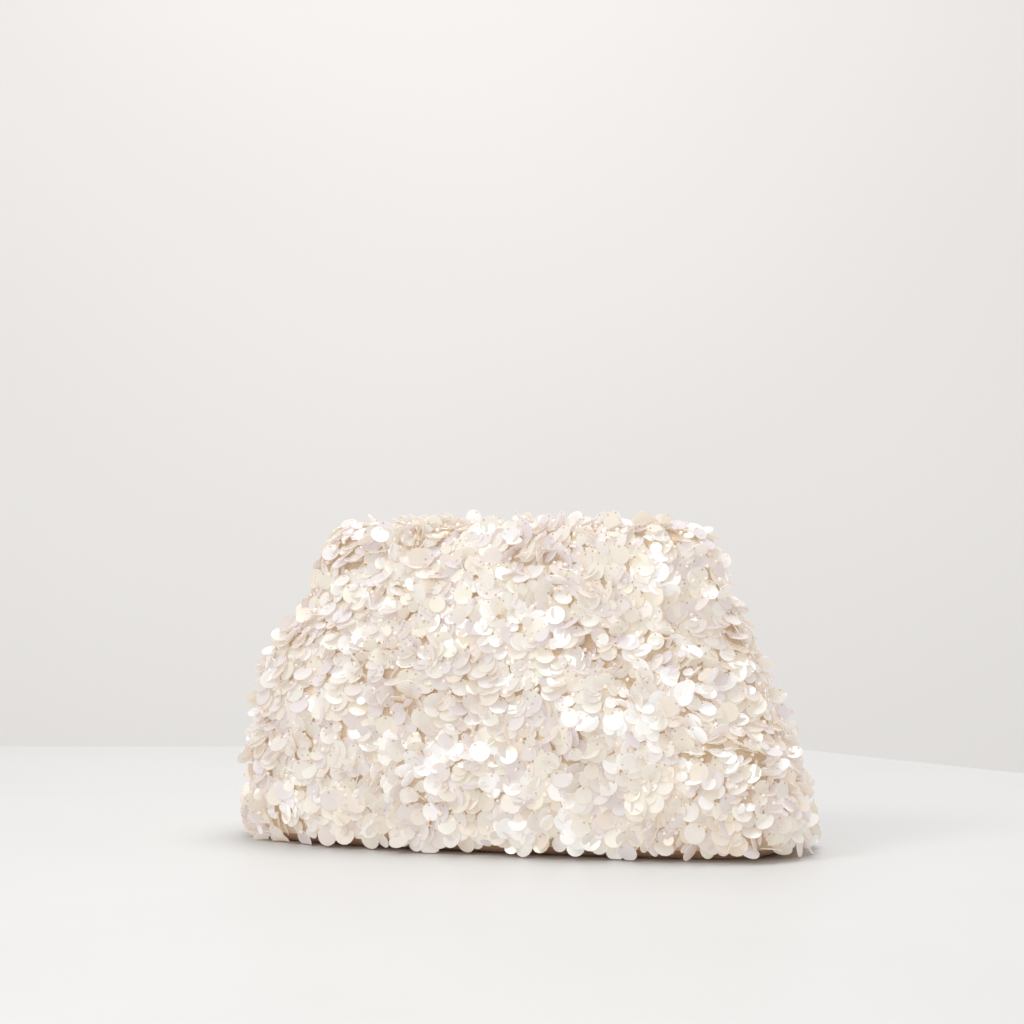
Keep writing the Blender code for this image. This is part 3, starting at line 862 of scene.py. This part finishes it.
def line_mesh(name, *lines):
    """Runs of points joined up as edges."""
    points, edges = [], []
    for line in lines:
        edges += [(len(points) + k, len(points) + k + 1) for k in range(len(line) - 1)]
        points += [tuple(point) for point in line]
    mesh = bpy.data.meshes.new(name)
    mesh.from_pydata(points, edges, [])
    return mesh


def path_along(graph, line, step):
    """The curve along a run of points, with a point at each step."""
    curve = graph.node("GeometryNodeMeshToCurve", None, {"Mesh": line})
    sockets = {"Curve": curve, "Length": step}
    return graph.node("GeometryNodeResampleCurve", {"mode": "LENGTH"}, sockets)


def smooth(graph, solid):
    sockets = {"Geometry": solid, "Shade Smooth": True}
    return graph.node("GeometryNodeSetShadeSmooth", None, sockets)


graph, given = new_tree("lay_cord", "Path", ("Radius", "Step"))
ring = graph.node("GeometryNodeCurvePrimitiveCircle", {"mode": "RADIUS"},
                  {"Resolution": 10, "Radius": given["Radius"]})
cord = graph.node("GeometryNodeCurveToMesh", None, {
    "Curve": path_along(graph, given["Path"], given["Step"]), "Profile Curve": ring,
    "Fill Caps": True})
lay_cord = finish_tree(graph, smooth(graph, cord), given)

for word, side in SIDES.items():
    edge_rows = cloth[word][1][cloth[word][1][:, 0, 2] > 0.088]
    run = np.concatenate([edge_rows[:, 0], cloth[word][1][-1, 1:-1], edge_rows[::-1, -1]])
    run[:, 1] = side * (PIPING_RADIUS + PIPING_HALF_GAP)
    run[:, 2] -= PIPING_DROP
    run[:, 0] *= 0.993
    piece = made_by(lay_cord, line_mesh(f"{word}_lip", run), f"{word}_lip_piping",
                    {"Radius": PIPING_RADIUS, "Step": 0.0022, "Finish": satin.material})
    bends(piece)

# ------------------------------------------------------------------ stitching
# Cream thread in short running stitches: along the frame sleeves, and round the slip pocket.

thread = Finish("cream_thread", {"Roughness": 0.6, "Sheen Weight": 0.3})
twist = thread.threads(thread.place(), "DIAGONAL", 1400.0)
thread.drive("Base Color", thread.mix(twist * 0.5, (0.80, 0.72, 0.60, 1), (0.94, 0.89, 0.81, 1)))
thread.bump(twist, 0.4, 0.0001)

graph, given = new_tree("running_stitch", "Line", ("Spacing", "Length", "Radius"))
tangent = graph.node("GeometryNodeInputTangent")
stitch = graph.node("GeometryNodeMeshUVSphere", None, {"Segments": 6, "Rings": 5, "Radius": 1.0})
row = graph.node("GeometryNodeInstanceOnPoints", None, {
    "Points": path_along(graph, given["Line"], given["Spacing"]),
    "Instance": stitch,
    "Rotation": graph.node("FunctionNodeAlignRotationToVector", {"axis": "Z"}, {"Vector": tangent}),
    "Scale": graph.joined(given["Radius"], given["Radius"], given["Length"] * 0.5),
})
row = graph.node("GeometryNodeRealizeInstances", None, {"Geometry": row})
running_stitch = finish_tree(graph, smooth(graph, row), given)
STITCH = {"Spacing": 0.0030, "Length": 0.0022, "Radius": 0.00016, "Finish": thread.material}


def sleeve_middle(word, side):
    """The middle line of the sleeve's face at the mouth, from one foot over the top to the other."""
    mesh = [obj for obj in bpy.data.objects if obj.name == f"{word}_frame_sleeve"][0].data
    spots = np.array([v.co for v in mesh.vertices if abs(v.co.y) < 0.0006])
    angle = np.degrees(np.arctan2(spots[:, 2] - 0.075, spots[:, 0]))
    middle = []
    for low in np.arange(6, 174, 6.0):
        here = spots[(angle >= low) & (angle < low + 6)]
        if len(here):
            middle.append(here.mean(axis=0))
    middle = np.array(middle)
    middle[:, 1] = side * 0.00030
    return middle


for word, side in SIDES.items():
    seam = line_mesh(f"{word}_seam", sleeve_middle(word, side))
    piece = made_by(running_stitch, seam, f"{word}_sleeve_stitches", STITCH)
    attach(piece, f"{word}_half")

lift = np.array([0, -0.0001, 0])
ends = np.concatenate([patch[::-1, 1], patch[1, 1:-1], patch[:, -2]]) + lift
foot_shade_and_pocket_hem = patch[-3] + lift
piece = made_by(running_stitch, line_mesh("pocket_seam", ends, foot_shade_and_pocket_hem), "pocket_stitches", STITCH)
bends(piece)

# ------------------------------------------------------------------ sequins
# Flat pearly discs, 6 to 10 mm across, each with a hole near its edge by which it is sewn on.
# They hang and overlap like scales, but are brushed in all directions by handling.

SEQUIN_RADIUS = 0.0049
SEQUIN_THICKNESS = 0.00028
SEQUIN_DISH = 0.00035
SEQUIN_SPACING = 0.0031
HOLE_PLACE = 0.76
# The lowest row of holes, and how it climbs to the right from this far left of the middle.
LOWEST_HOLE, CLIMB_FROM, CLIMB, MOST_CLIMB = 0.0062, 0.125, 0.06, 0.0022
MOST_CREASE = 0.86
# How far a slow ruffle, chance and wild ones turn a sequin, and how much more in rough patches.
RUFFLE, SCATTER, WILD_SCATTER = 2.0, 0.26, 1.1
PATCH_RUFFLE, PATCH_SCATTER = 6.5, 0.40
# The slack in a sequin's thread.
LEAST_SLACK, MOST_SLACK, WILD_SLACK = 0.0003, 0.0028, 0.0020

pearl = Finish("pearl_sequin", {
    "Coat Weight": 0.5, "Coat Roughness": 0.10, "Coat IOR": 1.6, "IOR": 1.55,
    "Thin Film Thickness": 420.0, "Thin Film IOR": 1.35, "Emission Strength": 0.35,
})
tint, gloss, bright = (pearl.attribute(name) for name in ("tint", "gloss", "bright"))
disc = pearl.attribute("disc", "Vector")
body = pearl.ramp(
    tint, (0.00, (0.95, 0.84, 0.72)), (0.20, (0.96, 0.89, 0.80)), (0.42, (0.98, 0.94, 0.88)),
    (0.58, (0.93, 0.86, 0.85)), (0.74, (0.87, 0.79, 0.83)), (0.86, (0.95, 0.83, 0.71)),
    (1.00, (0.98, 0.97, 0.96)))
cloud = pearl.noise(pearl.place(), 160, 2)
body = pearl.mix(cloud * 0.35, body, (1.0, 0.97, 0.92, 1))
# Discs in the glint clusters are painted a pale bluish white and spared most of the darkening and
# dimming below: painted highlights, as if they caught the key light.
body = pearl.mix(bright, body, (0.86, 0.87, 0.90, 1))
from_middle = pearl.vector("LENGTH", disc)[1]
# A warm darker ring at each disc's edge: painted shade where the discs overlap.
painted_rim_shade = (from_middle > 0.94) * 0.22
body = pearl.mix(painted_rim_shade, body, (0.88, 0.70, 0.52, 1))
from_hole = pearl.vector("LENGTH", pearl.vector("SUBTRACT", disc, (0, HOLE_PLACE, 0)))[1]
hole = from_hole < 0.11
body = pearl.mix(hole * 0.8, body, (0.50, 0.33, 0.20, 1))
pearl.drive("Base Color", pearl.mix(1.0 - bright * 0.72, body, (0.565, 0.605, 0.665, 1), "MULTIPLY"))
# The sequins glow faintly in their own warm colour (Emission Strength above): painted light that lifts
# their shadows, not a lamp.
pearl.drive("Emission Color", pearl.mix(1.0 - bright * 0.6, body, (1.0, 0.93, 0.85, 1), "MULTIPLY"))
pearl.drive("Roughness", 0.46 - gloss * 0.22 - bright * 0.10 + hole * 0.4)
pearl.drive("Metallic", gloss * gloss * 0.30)
pearl.bump(cloud + pearl.noise(pearl.place(), 420, 2), 0.16, 0.0004)
pearl.let_light_through(0.36, (1.0, 0.93, 0.85, 1))


def sew_sequins_tree():
    """Scatters sequins over a cloth between two values of x, and gives each its own turn."""
    graph, given = new_tree(
        "sew_sequins", "Cloth",
        ("Low end", "High end", "Side", "Spacing", "Radius", "Thickness", "Dish"), ("Seed",))

    def chance(low, high, salt):
        return graph.chance(low, high, given["Seed"] + salt)

    def any_way(salt):
        sockets = {0: (-1, -1, -1), 1: (1, 1, 1), "Seed": given["Seed"] + salt}
        return graph.node("FunctionNodeRandomValue", {"data_type": "FLOAT_VECTOR"}, sockets)[0]

    def drift(scale, shift):
        """A direction that changes slowly from place to place."""
        at = graph.vector("ADD", graph.node("GeometryNodeInputPosition"), shift)
        return graph.vector("SUBTRACT", graph.noise(at, scale)["Color"], (0.5, 0.5, 0.5))

    sockets = {
        "Mesh": given["Cloth"], "Distance Min": given["Spacing"], "Density Max": 160000.0,
        "Density Factor": 1.0, "Seed": given["Seed"],
    }
    how = {"distribute_method": "POISSON"}
    points = graph.node("GeometryNodeDistributePointsOnFaces", how, sockets)
    normal = points["Normal"]
    place = graph.node("GeometryNodeInputPosition")
    at = graph.split(place)
    crease = graph.node("GeometryNodeInputNamedAttribute", {"data_type": "FLOAT"}, {"Name": "crease"})
    climb = (at[0] + CLIMB_FROM) * CLIMB
    climb = climb.maths("MAXIMUM", climb, 0.0)
    lowest = LOWEST_HOLE + climb.maths("MINIMUM", climb, MOST_CLIMB)
    keep = (at[0] > given["Low end"]) * (at[0] < given["High end"]) * (at[2] > lowest)
    keep *= crease["Attribute"] < MOST_CREASE
    drop = graph.node("FunctionNodeBooleanMath", {"operation": "NOT"}, {0: keep > 0.5})
    sockets = {"Geometry": points[0], "Selection": drop}
    stay = graph.node("GeometryNodeDeleteGeometry", {"domain": "POINT"}, sockets)

    # Which way each one faces: out of the cloth and up a little, then ruffled.
    wild = chance(0, 1, 11)
    wild = wild * wild * wild
    ruffle = drift(26.0, (0, 0, 0))
    patch = graph.node("ShaderNodeMapRange", {"interpolation_type": "SMOOTHSTEP"},
                       {"Value": graph.noise(place, 34.0, 3.0), 1: 0.49, 2: 0.61, 3: 0.0, 4: 1.0})
    facing = graph.vector("ADD", normal, (0, 0, 0.20))
    facing = graph.vector("ADD", facing, graph.scaled(ruffle, RUFFLE + patch * PATCH_RUFFLE))
    scatter = SCATTER + wild * WILD_SCATTER + patch * PATCH_SCATTER
    facing = graph.vector("ADD", facing, graph.scaled(any_way(12), scatter))
    hang = graph.vector("ADD", (0, 0, 1), graph.scaled(any_way(13), 0.40 + wild * 1.4))
    hang = graph.vector("ADD", hang, graph.scaled(drift(30.0, (5, 2, 9)), 3.4))
    turn = graph.node("FunctionNodeAxesToRotation", {"primary_axis": "Z", "secondary_axis": "Y"},
                      {0: facing, 1: hang})
    # A sequin whose free edge would go in through the cloth lies on it instead.
    tip = graph.node("FunctionNodeRotateVector", None, {0: (0, -1, 0), 1: turn})
    sunk = graph.vector("DOT_PRODUCT", tip, normal)[1] * given["Radius"] * -1.55 - 0.0007
    sunk = sunk.maths("MAXIMUM", sunk, 0.0)
    slack = chance(LEAST_SLACK, MOST_SLACK, 14) + wild * WILD_SLACK
    lift = graph.scaled(normal, slack + sunk)
    raised = graph.node("GeometryNodeSetPosition", None, {"Geometry": stay, "Offset": lift})

    def remember(geometry, name, value):
        settings = {"data_type": "FLOAT", "domain": "POINT"}
        return graph.node("GeometryNodeStoreNamedAttribute", settings,
                          {"Geometry": geometry, "Name": name, "Value": value})

    mood = graph.noise(place, 22.0)
    raised = remember(raised, "tint", chance(0, 1, 15) * 0.80 + (mood - 0.5) * 0.9 + 0.10)
    raised = remember(raised, "gloss", chance(0, 1, 16))
    # Clusters of discs marked for painted glints: painted highlights of the key light.
    glint_cluster = graph.noise(graph.vector("ADD", place, (3, 1, 4)), 30.0, 1.0)
    raised = remember(raised, "bright", (chance(0, 1, 19) + (glint_cluster - 0.5) * 2.6) > 0.95)
    # Three sizes, about 10, 8 and 6 mm across.
    small = chance(0, 1, 17)
    size = 1.04 - (small > 0.45) * 0.20 - (small > 0.72) * 0.24 + chance(-0.06, 0.08, 18)

    # One sequin: a thin closed disc, slightly dished, that hangs from the hole near its top edge.
    cylinder = graph.node("GeometryNodeMeshCylinder", {"fill_type": "TRIANGLE_FAN"}, {
        "Vertices": 14, "Side Segments": 1, "Fill Segments": 1, "Radius": given["Radius"],
        "Depth": given["Thickness"],
    })
    here = graph.node("GeometryNodeInputPosition")
    over = graph.scaled(graph.vector("MULTIPLY", here, (1, 1, 0)), 1.0 / SEQUIN_RADIUS)
    settings = {"data_type": "FLOAT_VECTOR", "domain": "POINT"}
    sequin = graph.node("GeometryNodeStoreNamedAttribute", settings,
                        {"Geometry": cylinder, "Name": "disc", "Value": over})
    cupped = graph.vector("LENGTH", over)[1] * given["Dish"]
    shift = graph.joined(0.0, given["Radius"] * -HOLE_PLACE, cupped)
    sequin = graph.node("GeometryNodeSetPosition", None, {"Geometry": sequin, "Offset": shift})
    sequin = smooth(graph, sequin)
    bend = graph.node("GeometryNodeInputMeshEdgeAngle")["Unsigned Angle"] > 0.6
    sequin = graph.node("GeometryNodeStoreNamedAttribute", {"data_type": "BOOLEAN", "domain": "EDGE"},
                        {"Geometry": sequin, "Name": "sharp_edge", "Value": bend})

    sewn = graph.node("GeometryNodeInstanceOnPoints", None,
                      {"Points": raised, "Instance": sequin, "Rotation": turn, "Scale": size})
    solid = graph.node("GeometryNodeRealizeInstances", None, {"Geometry": sewn})

    # None of them goes through the table, or over the mouth line into the other half.
    at = graph.split(graph.node("GeometryNodeInputPosition"))
    outward = at[1] * given["Side"]
    outward = outward.maths("MAXIMUM", outward, 0.00025) * given["Side"]
    level = at[2].maths("MAXIMUM", at[2], at[2] * 0.04 + 0.0006)
    sockets = {"Geometry": solid, "Position": graph.joined(at[0], outward, level)}
    solid = graph.node("GeometryNodeSetPosition", None, sockets)
    return finish_tree(graph, solid, given)


def outer_face(name, grid):
    """The cloth's outer face alone, as something to sew on."""
    rows, columns = grid.shape[:2]
    corner = np.arange(rows * columns).reshape(rows, columns)
    ring = [corner[:-1, :-1], corner[:-1, 1:], corner[1:, 1:], corner[1:, :-1]]
    mesh = bpy.data.meshes.new(name)
    mesh.from_pydata(grid.reshape(-1, 3).tolist(), [], np.stack(ring, axis=2).reshape(-1, 4).tolist())
    out = sum(p.normal.y * p.center.y for p in mesh.polygons)
    if out < 0:
        mesh.flip_normals()
    y, z = np.abs(grid[:, :, 1]).ravel(), grid[:, :, 2].ravel()
    deep = np.exp(-(((y - CREASE_PLACE) / CREASE_WIDTH) ** 2))
    deep *= np.interp(z * 1000, CLOTH_STATIONS[:, 0], CLOTH_STATIONS[:, 4]) / 0.2
    deep = np.minimum(deep, 1) * (np.abs(grid[:, :, 0].ravel()) > 0.07)
    mesh.attributes.new("crease", "FLOAT", "POINT").data.foreach_set("value", deep.astype(np.float32))
    return placed(name, mesh)


sewing = sew_sequins_tree()
HALVES = {"left": (-1.0, 0.0), "right": (0.0, 1.0)}
for word, side in SIDES.items():
    base = outer_face(f"{word}_sewing_base", cloth[word][1])
    for end, (low, high) in HALVES.items():
        piece = made_by(sewing, base.data.copy(), f"{word}_sequins_{end}", {
            "Low end": low, "High end": high, "Side": float(side), "Spacing": SEQUIN_SPACING,
            "Radius": SEQUIN_RADIUS, "Thickness": SEQUIN_THICKNESS, "Dish": SEQUIN_DISH,
            "Seed": 7 if side < 0 else 23, "Finish": pearl.material,
        })
        bends(piece)
    bpy.data.objects.remove(base)

# ------------------------------------------------------------------ seed beads
# Clear glass seed beads, 2 to 3 mm across, sewn between the sequins. They stand just proud of
# the net, where the gaps are.

glass = Finish("clear_seed_bead", {
    "IOR": 1.5, "Coat Weight": 0.6, "Coat Roughness": 0.04, "Emission Strength": 0.12,
})
speck = glass.noise(glass.place(), 240, 2)
drop = glass.ramp(
    speck, (0.35, (0.93, 0.82, 0.70)), (0.5, (0.97, 0.92, 0.86)), (0.65, (0.90, 0.85, 0.87)))
glass.drive("Base Color", drop)
# The beads glow faintly in their own colour (Emission Strength above): painted light, not a lamp.
glass.drive("Emission Color", drop)
glass.drive("Roughness", 0.10 + speck * 0.12)
glass.let_light_through(0.4, (1.0, 0.94, 0.88, 1))

graph, given = new_tree("sew_beads", "Cloth", ("Spacing", "Radius", "Height"), ("Seed",))
points = graph.node("GeometryNodeDistributePointsOnFaces", {"distribute_method": "POISSON"}, {
    "Mesh": given["Cloth"], "Distance Min": given["Spacing"], "Density Max": 90000.0,
    "Seed": given["Seed"]})
low_down = graph.split(graph.node("GeometryNodeInputPosition"))[2] < 0.008
sockets = {"Geometry": points[0], "Selection": low_down}
places = graph.node("GeometryNodeDeleteGeometry", {"domain": "POINT"}, sockets)
offset = graph.scaled(points["Normal"], given["Height"])
places = graph.node("GeometryNodeSetPosition", None, {"Geometry": places, "Offset": offset})
sockets = {"Segments": 8, "Rings": 5, "Radius": given["Radius"]}
ball = smooth(graph, graph.node("GeometryNodeMeshUVSphere", None, sockets))
size = graph.chance(0.7, 1.15, given["Seed"] + 5)
beads = graph.node("GeometryNodeInstanceOnPoints", None,
                   {"Points": places, "Instance": ball, "Scale": size})
sew_beads = finish_tree(graph, beads, given)
for word, side in SIDES.items():
    base = outer_face(f"{word}_bead_base", cloth[word][1])
    piece = made_by(sew_beads, base.data.copy(), f"{word}_seed_beads", {
        "Spacing": 0.0056, "Radius": 0.0012, "Height": 0.0030, "Seed": 41, "Finish": glass.material})
    bpy.data.objects.remove(base)
    bends(piece)
